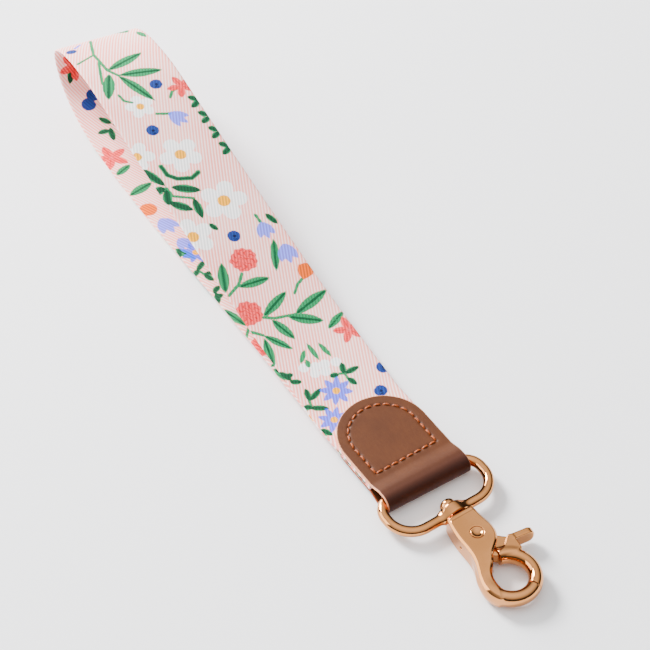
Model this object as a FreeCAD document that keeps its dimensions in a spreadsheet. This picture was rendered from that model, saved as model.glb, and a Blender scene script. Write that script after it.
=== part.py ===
"""Wristlet keychain: a webbing wrist loop sewn into a leather tab, with a swivel ring and a trigger hook.

The part lies on its back on the plane Z = 0. X runs across the strap, Y runs along it from the hook
(-Y) to the far end of the loop (+Y), and the origin is below the middle of the whole object.
All sizes are in millimetres.
"""

import FreeCAD, Part
import math
import os

import Sketcher

# Middle of the webbing round the wrist loop, from the lower layer to the upper one: reach beyond the
# tab's round end, sideways drift, height above the floor.
WRIST_LOOP_ROUTE = (
    (6.0, 0.4, 2.57),
    (14.0, 0.7, 2.5),
    (27.0, 1.2, 2.35),
    (42.0, 1.6, 2.15),
    (58.0, 1.9, 1.9),
    (75.0, 2.2, 1.5),
    (90.0, 2.5, 1.05),
    (103.0, 3.0, 0.82),
    (114.0, 3.5, 0.82),
    (124.0, 4.1, 1.0),
    (133.0, 4.9, 1.85),
    (141.0, 5.7, 3.9),
    (146.5, 6.3, 7.2),
    (149.8, 6.7, 11.2),
    (151.2, 6.9, 15.2),
    (150.6, 6.8, 18.6),
    (148.0, 6.5, 21.3),
    (143.0, 5.9, 24.0),
    (136.0, 5.2, 26.1),
    (129.0, 4.5, 27.1),
    (121.5, 4.0, 27.1),
    (114.0, 3.5, 26.1),
    (106.0, 3.1, 24.5),
    (95.0, 2.7, 21.9),
    (80.0, 2.3, 18.1),
    (65.0, 2.0, 14.3),
    (50.0, 1.7, 10.6),
    (35.0, 1.4, 7.2),
    (22.0, 1.1, 5.05),
    (13.0, 0.7, 4.2),
    (6.5, 0.4, 3.7),
    (3.0, 0.2, 3.5),
)

DIMENSIONS = (
    # (alias, value, what it is)
    ("strap_width", 25.0, "width of the webbing and of the leather"),
    ("web_thick", 0.8, "thickness of one layer of webbing"),
    ("sewn_half", 0.83, "half the gap between the leather's layers"),
    ("leather_thick", 0.9, "thickness of the leather"),
    ("tab_x", -1.6, "middle of the tab across the strap"),
    ("tab_y", -53.75, "centre of the tab's round end"),
    ("web_end_y", -65.05, "cut ends of the webbing inside the tab"),
    ("pocket_y", -69.75, "start of the full-height pocket for the ring's bar"),
    ("fold_y", -70.9, "centre of the leather's fold, which the ring turns on"),
    ("pocket_half", 2.1, "half the height of the pocket"),
    ("loop_yaw", -15.0, "turn of the loop's far end about the vertical, in degrees"),
    ("loop_roll", 3.4, "tip of the loop's far end to one side, in degrees"),
    ("loop_length", 153.0, "reach of the loop beyond the tab's round end"),
    ("stitch_inset", 3.1, "stitch line from the leather's edge"),
    ("stitch_base_y", -63.25, "straight stitch line across the tab"),
    ("stitch_pitch", 2.5, "from one stitch to the next"),
    ("stitch_long", 1.9, "length of one stitch"),
    ("thread_radius", 0.24, "radius of the sewing thread"),
    ("axis_z", 3.0, "height of the ring's and the hook's middle plane"),
    ("hook_x", -1.1, "swivel axis across the strap"),
    ("ring_x", -1.4, "middle of the ring's bent bar across the strap"),
    ("bar_y", -82.85, "centre line of the ring's front bar"),
    ("ring_depth", 12.55, "from the front bar's centre line to the rear bar's"),
    ("ring_half", 14.75, "half the ring's width at its centre line"),
    ("wire_radius", 1.4, "radius of the ring's bar"),
    ("front_bend", 6.8, "bend radius of the ring's front corners"),
    ("rear_bend", 4.8, "bend radius of the ring's rear corners"),
    ("boss_radius", 3.0, "radius of the ring's swivel boss"),
    ("boss_half", 1.6, "half the length of the boss"),
    ("boss_shoulder", 4.2, "where the boss's shoulders run out on the bar"),
    ("swivel_bore", 1.3, "radius of the bore in the boss"),
    ("stem_radius", 1.25, "radius of the swivel rivet's stem"),
    ("dome_radius", 2.15, "radius of the swivel rivet's domed head"),
    ("dome_high", 2.3, "height of the domed head"),
    ("end_play", 0.08, "gap under the domed head"),
    ("body_half", 3.0, "half the thickness of the hook body"),
    ("neck_y", -1.85, "hook body's top edge, from the front bar"),
    ("neck_x", 3.85, "half-width of the hook body at its top edge"),
    ("cheek_x", 4.55, "right side of the cheek"),
    ("cheek_y", -8.8, "right side of the cheek, from the front bar"),
    ("cheek_radius", 4.6, "radius of the cheek round the gate rivet"),
    ("chin_x", 2.96, "lower end of the cheek's round"),
    ("chin_y", -13.02, "lower end of the cheek's round, from the front bar"),
    ("throat_x", -0.6, "plate corner at the eye"),
    ("throat_y", -17.0, "plate corner at the eye, from the front bar"),
    ("crotch_x", -2.9, "eye's upper left"),
    ("crotch_y", -19.3, "eye's upper left, from the front bar"),
    ("root_in_x", -4.4, "inner root of the claw"),
    ("root_in_y", -21.8, "inner root of the claw, from the front bar"),
    ("root_out_x", -7.6, "outer root of the claw"),
    ("root_out_y", -20.8, "outer root of the claw, from the front bar"),
    ("flank_x", -5.6, "left flank above the claw"),
    ("flank_y", -16.2, "left flank above the claw, from the front bar"),
    ("back_x", -4.85, "straight left side"),
    ("back_low_y", -13.0, "lower end of the straight left side"),
    ("back_top_y", -7.5, "upper end of the straight left side"),
    ("body_round", 0.7, "rounding of the hook body's rims"),
    ("eye_y", -23.0, "centre of the eye, from the front bar"),
    ("claw_ring", 6.25, "centre-line radius of the claw"),
    ("claw_radius", 1.75, "radius of the claw's round section"),
    ("seam_angle", -61.0, "where the claw's tip meets the gate"),
    ("claw_start", 150.0, "where the claw leaves the hook body"),
    ("gate_start", 70.0, "where the gate's arc begins"),
    ("pivot_y", -9.5, "gate rivet, from the front bar"),
    ("slot_half", 1.6, "half the height of the gate's slot"),
    ("slot_top_y", -5.4, "upper end of the slot"),
    ("slot_left", -3.2, "inner side of the left wall"),
    ("slot_mid_y", -15.0, "lower end of the slot's wide part"),
    ("slot_low_left", -0.9, "left side of the slot's narrow part"),
    ("slot_end_y", -19.0, "lower end of the slot"),
    ("slot_right", 8.0, "the slot runs out on the right"),
    ("rivet_radius", 1.1, "radius of the gate rivet's shaft"),
    ("gate_bore", 1.16, "radius of the bore in the gate"),
    ("rivet_head", 1.7, "radius of the gate rivet's heads"),
    ("head_thick", 0.6, "thickness of the gate rivet's heads"),
    ("head_sunk", 0.12, "how far the heads lie below the faces"),
    ("vent_radius", 0.4, "radius of the small hole in the left wall"),
    ("gate_half", 1.5, "half the thickness of the gate's root"),
    ("gate_disc", 3.0, "radius of the gate's root round the rivet"),
    ("arm_left", 1.6, "left side of the gate's arm at the rivet"),
    ("arm_right", 2.2, "right side of the gate's arm at the rivet"),
    ("arm_top_y", -10.2, "upper end of the gate's arm, from the front bar"),
    ("shoulder_x", 6.4, "outer corner of the gate's shoulder"),
    ("shoulder_y", -13.9, "outer corner of the gate's shoulder, from the front bar"),
    ("elbow_x", 6.9, "where the arm meets the arc outside"),
    ("elbow_y", -17.6, "where the arm meets the arc outside, from the front bar"),
    ("lip_x", 1.6, "where the arm meets the arc inside"),
    ("lip_y", -18.5, "where the arm meets the arc inside, from the front bar"),
    ("heel_x", -0.5, "lower left of the gate's arm"),
    ("heel_y", -16.4, "lower left of the gate's arm, from the front bar"),
    ("recess_radius", 2.3, "radius of the spring's recess in the gate"),
    ("recess_deep", 1.8, "depth of the spring's recess"),
    ("fin_x", 5.8, "start of the thumb fin"),
    ("fin_y", -14.95, "middle of the thumb fin at its start, from the front bar"),
    ("fin_long", 6.0, "length of the thumb fin to its round end"),
    ("fin_thick", 1.9, "thickness of the thumb fin"),
    ("fin_half", 1.6, "half the height of the thumb fin"),
    ("fin_slope", -5.0, "slope of the thumb fin"),
    ("coil_radius", 1.72, "centre-line radius of the gate spring"),
    ("coil_wire", 0.2, "radius of the spring's wire"),
    ("coil_pitch", 0.46, "rise of one turn of the spring"),
    ("coil_turns", 3.0, "turns of the spring"),
)

SIZE = {alias: value for alias, value, _ in DIMENSIONS}

doc = FreeCAD.newDocument("wristlet_keychain")


def make_sheet():
    """Keep the driving dimensions in a spreadsheet that the objects read."""
    sheet = doc.addObject("Spreadsheet::Sheet", "dims")
    for row, (alias, value, words) in enumerate(DIMENSIONS, start=1):
        sheet.set(f"A{row}", words)
        sheet.set(f"B{row}", str(value))
        sheet.setAlias(f"B{row}", alias)
    doc.recompute()
    return sheet


def bind(thing, **formulas):
    """Bind properties of an object to formulas over the sheet."""
    for name, formula in formulas.items():
        thing.setExpression(name, formula)


def place(thing, x="0", y="0", z="0"):
    """Bind an object's position to formulas over the sheet."""
    thing.setExpression("Placement.Base.x", x)
    thing.setExpression("Placement.Base.y", y)
    thing.setExpression("Placement.Base.z", z)


def turn(thing, axis, angle):
    """Turn an object about an axis before it is placed."""
    thing.Placement = FreeCAD.Placement(FreeCAD.Vector(), FreeCAD.Rotation(FreeCAD.Vector(*axis), angle))


def box(name, x, y, z, length, width, height):
    """A block with its low corner at x, y, z."""
    block = doc.addObject("Part::Box", name)
    bind(block, Length=length, Width=width, Height=height)
    place(block, x, y, z)
    return block


def cylinder(name, x, y, z, radius, height, axis=(0, 0, 1), angle=0.0):
    """A round bar that starts at x, y, z."""
    bar = doc.addObject("Part::Cylinder", name)
    turn(bar, axis, angle)
    bind(bar, Radius=radius, Height=height)
    place(bar, x, y, z)
    return bar


def bar_along_x(name, x, y, z, radius, height):
    return cylinder(name, x, y, z, radius, height, (0, 1, 0), 90.0)


def bar_along_y(name, x, y, z, radius, height):
    return cylinder(name, x, y, z, radius, height, (1, 0, 0), -90.0)


def bend(name, x, y, z, ring, section, sweep, start):
    """A bent round bar in the XY plane, from the angle start over the angle sweep."""
    arc = doc.addObject("Part::Torus", name)
    bind(arc, Radius1=ring, Radius2=section, Angle3=sweep)
    bind(arc, **{"Placement.Rotation.Angle": start})
    place(arc, x, y, z)
    return arc


def fuse(name, *pieces):
    joined = doc.addObject("Part::MultiFuse", name)
    joined.Shapes = list(pieces)
    joined.Refine = True
    return joined


def cut(name, base, tool):
    rest = doc.addObject("Part::Cut", name)
    rest.Base = base
    rest.Tool = tool
    return rest


def at_hook(y):
    """A formula for a place given from the ring's front bar."""
    return f"dims.bar_y + {y}"


def across(x):
    """A formula for a place given from the swivel axis."""
    return f"dims.hook_x + {x}"


def number(word):
    """The value of a corner's word: an alias, or a minus sign and an alias."""
    return -SIZE[word[1:]] if word.startswith("-") else SIZE[word]


def formula(word):
    """The formula of a corner's word."""
    return f"-dims.{word[1:]}" if word.startswith("-") else f"dims.{word}"


def outline_body(name, corners, arc_after, arc_radius, half_thick, rounding):
    """A plate whose corners are bound to the sheet, padded to both sides of its own middle plane.

    The side that follows the corner arc_after is an arc of radius arc_radius; the others are straight.
    """
    body = doc.addObject("PartDesign::Body", name)
    place(body, "dims.hook_x", "dims.bar_y", "dims.axis_z")
    plane = [f for f in body.Origin.OriginFeatures if f.Role == "XY_Plane"][0]
    sketch = body.newObject("Sketcher::SketchObject", name + "_outline")
    sketch.AttachmentSupport = [(plane, "")]
    sketch.MapMode = "FlatFace"
    points = [FreeCAD.Vector(number(x), number(y), 0) for x, y in corners]
    count = len(points)
    for i, start in enumerate(points):
        end = points[(i + 1) % count]
        if i == arc_after:
            sketch.addGeometry(arc_between(start, end, SIZE[arc_radius]), False)
        else:
            sketch.addGeometry(Part.LineSegment(start, end), False)
    # An arc runs anticlockwise, so on this clockwise outline its ends are swapped.
    first = [2 if i == arc_after else 1 for i in range(count)]
    last = [1 if i == arc_after else 2 for i in range(count)]
    for i in range(count):
        after = (i + 1) % count
        sketch.addConstraint(Sketcher.Constraint("Coincident", i, last[i], after, first[after]))
    for i, (x, y) in enumerate(corners):
        for kind, word in (("DistanceX", x), ("DistanceY", y)):
            lock = Sketcher.Constraint(kind, -1, 1, i, first[i], number(word))
            index = sketch.addConstraint(lock)
            sketch.setExpression(f"Constraints[{index}]", formula(word))
    if arc_after is not None:
        index = sketch.addConstraint(Sketcher.Constraint("Radius", arc_after, SIZE[arc_radius]))
        sketch.setExpression(f"Constraints[{index}]", f"dims.{arc_radius}")
    pad = body.newObject("PartDesign::Pad", name + "_pad")
    pad.Profile = sketch
    pad.Midplane = True
    bind(pad, Length=f"2 * dims.{half_thick}")
    doc.recompute()
    if rounding:
        flat = [f"Face{i}" for i, face in enumerate(pad.Shape.Faces, start=1) if abs(normal_z(face)) > 0.99]
        rims = body.newObject("PartDesign::Fillet", name + "_rims")
        rims.Base = (pad, flat)
        bind(rims, Radius=f"dims.{rounding}")
        doc.recompute()
    return body


def arc_between(start, end, radius):
    """The arc of a given radius that bulges to the left of the way from end to start."""
    middle = (start + end) * 0.5
    way = start - end
    side = FreeCAD.Vector(way.y, -way.x, 0).normalize()
    reach = math.sqrt(radius ** 2 - (way.Length / 2) ** 2)
    top = middle + side * (radius - reach)
    return Part.Arc(end, top, start)


def normal_z(face):
    low_u, high_u, low_v, high_v = face.ParameterRange
    return face.normalAt((low_u + high_u) / 2, (low_v + high_v) / 2).z


def make_leather_tab():
    """One leather strip folded round the ring's bar, round at both ends."""

    def folded(name, flat_half, pocket_half, reach_y):
        left = "dims.tab_x - dims.strap_width / 2"
        flat = box(
            name + "_flat", left, "dims.web_end_y", f"dims.axis_z - ({flat_half})",
            "dims.strap_width", f"{reach_y} - dims.web_end_y", f"2 * ({flat_half})",
        )
        slope = doc.addObject("Part::Wedge", name + "_slope")
        bind(
            slope, Xmin="0", Xmax="dims.strap_width", X2min="0", X2max="dims.strap_width",
            Ymin="dims.pocket_y", Ymax="dims.web_end_y",
            Zmin=f"-({pocket_half})", Zmax=pocket_half, Z2min=f"-({flat_half})", Z2max=flat_half,
        )
        place(slope, left, "0", "dims.axis_z")
        pocket = box(
            name + "_pocket", left, "dims.fold_y", f"dims.axis_z - ({pocket_half})",
            "dims.strap_width", "dims.pocket_y - dims.fold_y", f"2 * ({pocket_half})",
        )
        fold = bar_along_x(name + "_fold", left, "dims.fold_y", "dims.axis_z", pocket_half,
            "dims.strap_width")
        return [flat, slope, pocket, fold]

    outer_half = "dims.sewn_half + dims.leather_thick"
    round_end = cylinder(
        "leather_end", "dims.tab_x", "dims.tab_y", f"dims.axis_z - ({outer_half})",
        "dims.strap_width / 2", f"2 * ({outer_half})",
    )
    outside = folded("leather_out", outer_half, "dims.pocket_half + dims.leather_thick", "dims.tab_y")
    inside = folded("leather_in", "dims.sewn_half", "dims.pocket_half", "dims.tab_y + dims.strap_width")
    outer = fuse("leather_outer", round_end, *outside)
    inner = fuse("leather_inner", *inside)
    return cut("leather_tab", outer, inner)


def strap_side(y):
    """The direction across the webbing at the place y: the loop's far end is turned and tipped a little."""
    share = max(0.0, (y - SIZE["tab_y"] - SIZE["strap_width"] / 2) / SIZE["loop_length"]) ** 2
    yaw = math.radians(SIZE["loop_yaw"] * share)
    roll = math.radians(SIZE["loop_roll"] * share)
    return FreeCAD.Vector(math.cos(roll) * math.cos(yaw), math.cos(roll) * math.sin(yaw), math.sin(roll))


def strap_section(middle, half, here):
    """The outline of the webbing's cross section at one place of its middle line."""
    point = middle.value(here)
    side = strap_side(point.y)
    out = side.cross(middle.tangent(here)[0]).normalize() * half
    side = side * (SIZE["strap_width"] / 2)
    corners = [point - side - out, point + side - out, point + side + out, point - side + out]
    return Part.makePolygon(corners + corners[:1])


def make_webbing_strap():
    """One length of webbing, from inside the tab round the wrist loop and back into the tab."""
    half = SIZE["web_thick"] / 2
    round_end = SIZE["tab_y"] + SIZE["strap_width"] / 2
    middle_x = SIZE["tab_x"]
    inside = [SIZE["web_end_y"], SIZE["web_end_y"] + 9.0, round_end - 9.0, round_end - 4.0, round_end]
    lower = [FreeCAD.Vector(middle_x, y, SIZE["axis_z"] - half - 0.01) for y in inside]
    upper = [FreeCAD.Vector(middle_x, y, SIZE["axis_z"] + half + 0.01) for y in reversed(inside)]
    loop = [
        FreeCAD.Vector(middle_x + drift, round_end + reach, height) for reach, drift,
            height in WRIST_LOOP_ROUTE
    ]
    middle = Part.BSplineCurve()
    middle.interpolate(lower + loop + upper)
    spans = 16
    steps = 8
    step = (middle.LastParameter - middle.FirstParameter) / (spans * steps)
    stretches = []
    for span in range(spans):
        places = [middle.FirstParameter + step * (span * steps + i) for i in range(steps + 1)]
        sections = [strap_section(middle, half, here) for here in places]
        stretches.append(Part.makeLoft(sections, True, False))
    strap = doc.addObject("Part::Feature", "webbing_strap")
    strap.Shape = stretches[0].multiFuse(stretches[1:])
    print(f"webbing length {middle.length():.1f} mm")
    return strap


def stitch_path():
    """Middles and directions of the stitches round the tab's D-shaped line."""
    radius = SIZE["strap_width"] / 2 - SIZE["stitch_inset"]
    base = SIZE["stitch_base_y"]
    side = SIZE["tab_y"] - base
    runs = (2 * radius, side, math.pi * radius, side)
    places = []
    for kind, length in enumerate(runs):
        count = round(length / SIZE["stitch_pitch"])
        for i in range(count):
            share = (i + 0.5) / count
            if kind == 0:
                places.append((-radius + share * length, base, 0.0))
            elif kind == 1:
                places.append((radius, base + share * length, 90.0))
            elif kind == 2:
                angle = math.pi * share
                x = radius * math.cos(angle)
                places.append((x, SIZE["tab_y"] + radius * math.sin(angle), 90.0 + math.degrees(angle)))
            else:
                places.append((-radius, base + side - share * length, 90.0))
    return places


def make_thread(name, height):
    """The stitches on one face of the tab, each a short round bar on the leather."""
    stitches = []
    for x, y, angle in stitch_path():
        bar = Part.makeCylinder(
            SIZE["thread_radius"], SIZE["stitch_long"],
            FreeCAD.Vector(-SIZE["stitch_long"] / 2, 0, 0), FreeCAD.Vector(1, 0, 0),
        )
        bar.rotate(FreeCAD.Vector(), FreeCAD.Vector(0, 0, 1), angle)
        bar.translate(FreeCAD.Vector(SIZE["tab_x"] + x, y, height))
        stitches.append(bar)
    thread = doc.addObject("Part::Feature", name)
    thread.Shape = Part.makeCompound(stitches)
    return thread


def make_swivel_ring():
    """The oval ring: a bent round bar with a bored boss in the middle of its front bar."""
    rear_y = "dims.bar_y + dims.ring_depth"
    front_c = "dims.bar_y + dims.front_bend"
    rear_c = f"{rear_y} - dims.rear_bend"
    front_x = "dims.ring_half - dims.front_bend"
    rear_x = "dims.ring_half - dims.rear_bend"
    level = "dims.axis_z"
    wire = "dims.wire_radius"
    pieces = [
        bar_along_x("front_bar", f"dims.ring_x - ({front_x})", "dims.bar_y", level, wire, f"2 * ({front_x})"),
        bar_along_x("rear_bar", f"dims.ring_x - ({rear_x})", rear_y, level, wire, f"2 * ({rear_x})"),
    ]
    for side, sign in (("left", "-"), ("right", "+")):
        side_x = f"dims.ring_x {sign} dims.ring_half"
        side_long = f"{rear_c} - ({front_c})"
        pieces.append(bar_along_y(f"{side}_side", side_x, front_c, level, wire, side_long))
        front_start = "180" if side == "left" else "270"
        rear_start = "90" if side == "left" else "0"
        bend_x = f"dims.ring_x {sign} ({front_x})"
        pieces.append(bend(f"{side}_front_bend", bend_x, front_c, level, "dims.front_bend", wire,
            "90", front_start))
        bend_x = f"dims.ring_x {sign} ({rear_x})"
        pieces.append(bend(f"{side}_rear_bend", bend_x, rear_c, level, "dims.rear_bend", wire, "90",
            rear_start))
        shoulder = doc.addObject("Part::Cone", f"{side}_shoulder")
        turn(shoulder, (0, 1, 0), -90.0 if side == "left" else 90.0)
        bind(shoulder, Radius1="dims.boss_half", Radius2=wire, Height="dims.boss_shoulder")
        place(shoulder, "dims.hook_x", "dims.bar_y", level)
        pieces.append(shoulder)
    pieces.append(
        bar_along_y(
            "boss", "dims.hook_x", "dims.bar_y - dims.boss_half", level, "dims.boss_radius",
                "2 * dims.boss_half"
        )
    )
    blank = fuse("ring_blank", *pieces)
    bore = bar_along_y(
        "boss_bore", "dims.hook_x", "dims.bar_y - 2 * dims.boss_half", level, "dims.swivel_bore",
            "4 * dims.boss_half"
    )
    return cut("swivel_ring", blank, bore)


def make_swivel_rivet():
    """The rivet that holds the hook body on the ring's boss, with its domed head inside the ring."""
    head_y = "dims.bar_y + dims.boss_half + dims.end_play"
    stem = bar_along_y(
        "swivel_stem", "dims.hook_x", at_hook("dims.slot_top_y"), "dims.axis_z",
        "dims.stem_radius", f"{head_y} - ({at_hook('dims.slot_top_y')})",
    )
    dome = doc.addObject("Part::Ellipsoid", "swivel_dome")
    turn(dome, (1, 0, 0), -90.0)
    dome.Angle1 = 0.0
    bind(dome, Radius1="dims.dome_high", Radius2="dims.dome_radius")
    place(dome, "dims.hook_x", head_y, "dims.axis_z")
    return fuse("swivel_rivet", stem, dome)


def make_hook_body():
    """The cast body: two cheeks with the gate's slot between them, and the fixed claw."""
    corners = (
        ("-neck_x", "neck_y"),
        ("neck_x", "neck_y"),
        ("cheek_x", "cheek_y"),
        ("chin_x", "chin_y"),
        ("throat_x", "throat_y"),
        ("crotch_x", "crotch_y"),
        ("root_in_x", "root_in_y"),
        ("root_out_x", "root_out_y"),
        ("flank_x", "flank_y"),
        ("back_x", "back_low_y"),
        ("back_x", "back_top_y"),
    )
    plate = outline_body("hook_plate", corners, 2, "cheek_radius", "body_half", "body_round")
    claw = bend(
        "claw", "dims.hook_x", at_hook("dims.eye_y"), "dims.axis_z", "dims.claw_ring", "dims.claw_radius",
        "360 + dims.seam_angle - dims.claw_start - 1", "dims.claw_start",
    )
    blank = fuse("hook_blank", plate, claw)
    low = "dims.axis_z - dims.slot_half"
    high = "2 * dims.slot_half"
    wide = box(
        "slot_wide", across("dims.slot_left"), at_hook("dims.slot_mid_y"), low,
        "dims.slot_right - dims.slot_left", "dims.slot_top_y - dims.slot_mid_y", high,
    )
    narrow = box(
        "slot_narrow", across("dims.slot_low_left"), at_hook("dims.slot_end_y"), low,
        "dims.slot_right - dims.slot_low_left", "dims.slot_top_y - dims.slot_end_y", high,
    )
    stem = bar_along_y(
        "stem_bore", "dims.hook_x", at_hook("dims.slot_top_y"), "dims.axis_z", "dims.stem_radius",
            "2 * dims.body_half"
    )
    pivot = (across("0"), at_hook("dims.pivot_y"))
    shaft = cylinder("rivet_bore", *pivot, "0", "dims.rivet_radius", "2 * dims.axis_z")
    sink = "dims.head_thick + dims.head_sunk"
    low_sink = cylinder("low_sink", *pivot, "dims.axis_z - dims.body_half", "dims.rivet_head", sink)
    high_z = f"dims.axis_z + dims.body_half - ({sink})"
    high_sink = cylinder("high_sink", *pivot, high_z, "dims.rivet_head", sink)
    vent = bar_along_x(
        "vent_hole", across("dims.slot_left - 3"), at_hook("dims.pivot_y"), "dims.axis_z",
            "dims.vent_radius", "4"
    )
    return cut("hook_body", blank, fuse("hook_holes", wide, narrow, stem, shaft, low_sink, high_sink, vent))


def make_gate_rivet():
    """The rivet across the cheeks, with a flat head sunk in each."""
    pivot = (across("0"), at_hook("dims.pivot_y"))
    low = "dims.axis_z - dims.body_half + dims.head_sunk"
    span = "2 * (dims.body_half - dims.head_sunk)"
    shaft = cylinder("rivet_shaft", *pivot, low, "dims.rivet_radius", span)
    low_head = cylinder("low_head", *pivot, low, "dims.rivet_head", "dims.head_thick")
    high_z = "dims.axis_z + dims.body_half - dims.head_sunk - dims.head_thick"
    high_head = cylinder("high_head", *pivot, high_z, "dims.rivet_head", "dims.head_thick")
    return fuse("gate_rivet", shaft, low_head, high_head)


def make_gate_lever():
    """The gate: its root between the cheeks, the thumb fin, and the arc that closes the eye."""
    pivot = (across("0"), at_hook("dims.pivot_y"))
    disc = cylinder(
        "gate_root", *pivot, "dims.axis_z - dims.gate_half", "dims.gate_disc", "2 * dims.gate_half"
    )
    corners = (
        ("-arm_left", "arm_top_y"),
        ("arm_right", "arm_top_y"),
        ("shoulder_x", "shoulder_y"),
        ("elbow_x", "elbow_y"),
        ("lip_x", "lip_y"),
        ("heel_x", "heel_y"),
    )
    arm = outline_body("gate_arm", corners, None, None, "gate_half", None)
    arc = bend(
        "gate_arc", "dims.hook_x", at_hook("dims.eye_y"), "dims.axis_z", "dims.claw_ring", "dims.claw_radius",
        "dims.gate_start - dims.seam_angle", "dims.seam_angle",
    )
    fin = doc.addObject("Part::Box", "thumb_fin")
    bind(fin, Length="dims.fin_long", Width="dims.fin_thick", Height="2 * dims.fin_half")
    bind(fin, **{"Placement.Rotation.Angle": "dims.fin_slope"})
    place(fin, across("dims.fin_x"), at_hook("dims.fin_y - dims.fin_thick / 2"),
        "dims.axis_z - dims.fin_half")
    blank = fuse("gate_blank", disc, arm, arc, fin)
    bore = cylinder("gate_bore_tool", *pivot, "0", "dims.gate_bore", "2 * dims.axis_z")
    recess = cylinder(
        "spring_recess", *pivot, "dims.axis_z + dims.gate_half - dims.recess_deep", "dims.recess_radius",
        "dims.recess_deep + 1",
    )
    return cut("gate_lever", blank, fuse("gate_holes", bore, recess))


def make_gate_spring():
    """The torsion spring's coil, in the recess of the gate round its rivet."""
    height = SIZE["coil_pitch"] * SIZE["coil_turns"]
    helix = Part.makeHelix(SIZE["coil_pitch"], height, SIZE["coil_radius"])
    start = FreeCAD.Vector(SIZE["coil_radius"], 0, 0)
    section = Part.Wire([Part.makeCircle(SIZE["coil_wire"], start, FreeCAD.Vector(0, 1, 0))])
    coil = Part.Wire(helix.Edges).makePipeShell([section], True, True)
    floor = SIZE["axis_z"] + SIZE["gate_half"] - SIZE["recess_deep"]
    spring = doc.addObject("Part::Feature", "gate_spring")
    spring.Shape = coil
    spring.Placement = FreeCAD.Placement(
        FreeCAD.Vector(SIZE["hook_x"], SIZE["bar_y"] + SIZE["pivot_y"], floor + SIZE["coil_wire"] + 0.03),
        FreeCAD.Rotation(),
    )
    return spring


def check_and_write(nodes):
    """Stop on any failed object, then write each sub-part to its own file."""
    doc.recompute()
    for thing in doc.Objects:
        if "Invalid" in thing.State or "Error" in thing.State:
            raise RuntimeError(f"{thing.Label} failed: {thing.State}")
    os.makedirs("parts", exist_ok=True)
    for node in nodes:
        if node.Shape.isNull() or not node.Shape.isValid():
            raise RuntimeError(f"{node.Label} has no valid shape")
        node.Shape.exportStep(f"parts/{node.Label}.step")
        bounds = node.Shape.BoundBox
        print(
            f"{node.Label}: {len(node.Shape.Solids)} solids, {node.Shape.Volume:.2f} mm3, "
            f"X {bounds.XMin:.2f}..{bounds.XMax:.2f} Y {bounds.YMin:.2f}..{bounds.YMax:.2f} "
            f"Z {bounds.ZMin:.2f}..{bounds.ZMax:.2f}"
        )


def main():
    make_sheet()
    face = SIZE["sewn_half"] + SIZE["leather_thick"] + SIZE["thread_radius"]
    nodes = [
        make_webbing_strap(),
        make_leather_tab(),
        make_thread("needle_thread", SIZE["axis_z"] + face),
        make_thread("bobbin_thread", SIZE["axis_z"] - face),
        make_swivel_ring(),
        make_swivel_rivet(),
        make_hook_body(),
        make_gate_rivet(),
        make_gate_lever(),
        make_gate_spring(),
    ]
    check_and_write(nodes)


main()
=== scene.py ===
"""Looks of the wristlet keychain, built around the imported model.

Pieces are worked out in millimetres, and make_object turns them into metres. The camera, the
lights and the floor are in metres.
"""

import math

import bpy
import numpy as np
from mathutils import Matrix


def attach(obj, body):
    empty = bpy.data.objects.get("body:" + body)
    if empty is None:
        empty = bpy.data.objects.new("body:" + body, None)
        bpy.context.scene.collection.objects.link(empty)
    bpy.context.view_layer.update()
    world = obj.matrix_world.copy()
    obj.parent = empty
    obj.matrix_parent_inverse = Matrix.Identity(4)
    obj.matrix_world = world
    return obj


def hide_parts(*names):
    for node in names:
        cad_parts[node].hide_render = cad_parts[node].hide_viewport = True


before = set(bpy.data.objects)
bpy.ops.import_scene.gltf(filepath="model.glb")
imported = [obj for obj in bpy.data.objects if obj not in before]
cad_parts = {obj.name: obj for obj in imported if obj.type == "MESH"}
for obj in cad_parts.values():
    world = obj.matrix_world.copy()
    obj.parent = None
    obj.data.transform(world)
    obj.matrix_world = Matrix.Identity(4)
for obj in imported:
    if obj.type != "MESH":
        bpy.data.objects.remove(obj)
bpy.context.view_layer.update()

MM = 0.001

# Places and sizes that the CAD model has too.
TAB_X = -1.6
TAB_Y = -53.75
STRAP_HALF = 12.5
WEB_HALF = 0.4
LEATHER = 0.9
SEWN_HALF = 0.83
WEB_END_Y = -65.05
POCKET_Y = -69.75
POCKET_HALF = 2.1
FOLD_Y = -70.9
AXIS_Z = 3.0
HOOK_X = -1.1
RING_X = -1.4
BAR_Y = -82.85
RING_HALF = 14.75
RING_DEPTH = 12.55
WIRE = 1.4
FRONT_BEND = 6.8
REAR_BEND = 4.8
ROUND_END = TAB_Y + STRAP_HALF
PIVOT = 9.5
EYE = 23.0
LOOP_LENGTH = 153.0
LOOP_YAW = -15.0
LOOP_ROLL = 3.4
STITCH_INSET = 3.1
STITCH_BASE_Y = -63.25
STITCH_PITCH = 2.5

# Details that only the looks have.
STITCH_LONG = 1.95
STITCH_RADIUS = 0.25
NEEDLE_HOLE = 1.12
RIB_TURN = 23.0
RIB_PITCH = 0.84
RIB_HIGH = 0.045
THREAD_PITCH = 0.52
RIM_THIN = 0.62
WEB_STEP_ALONG = 0.46
WEB_STEP_ACROSS = 0.22
NO_INK = -2.0

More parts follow.
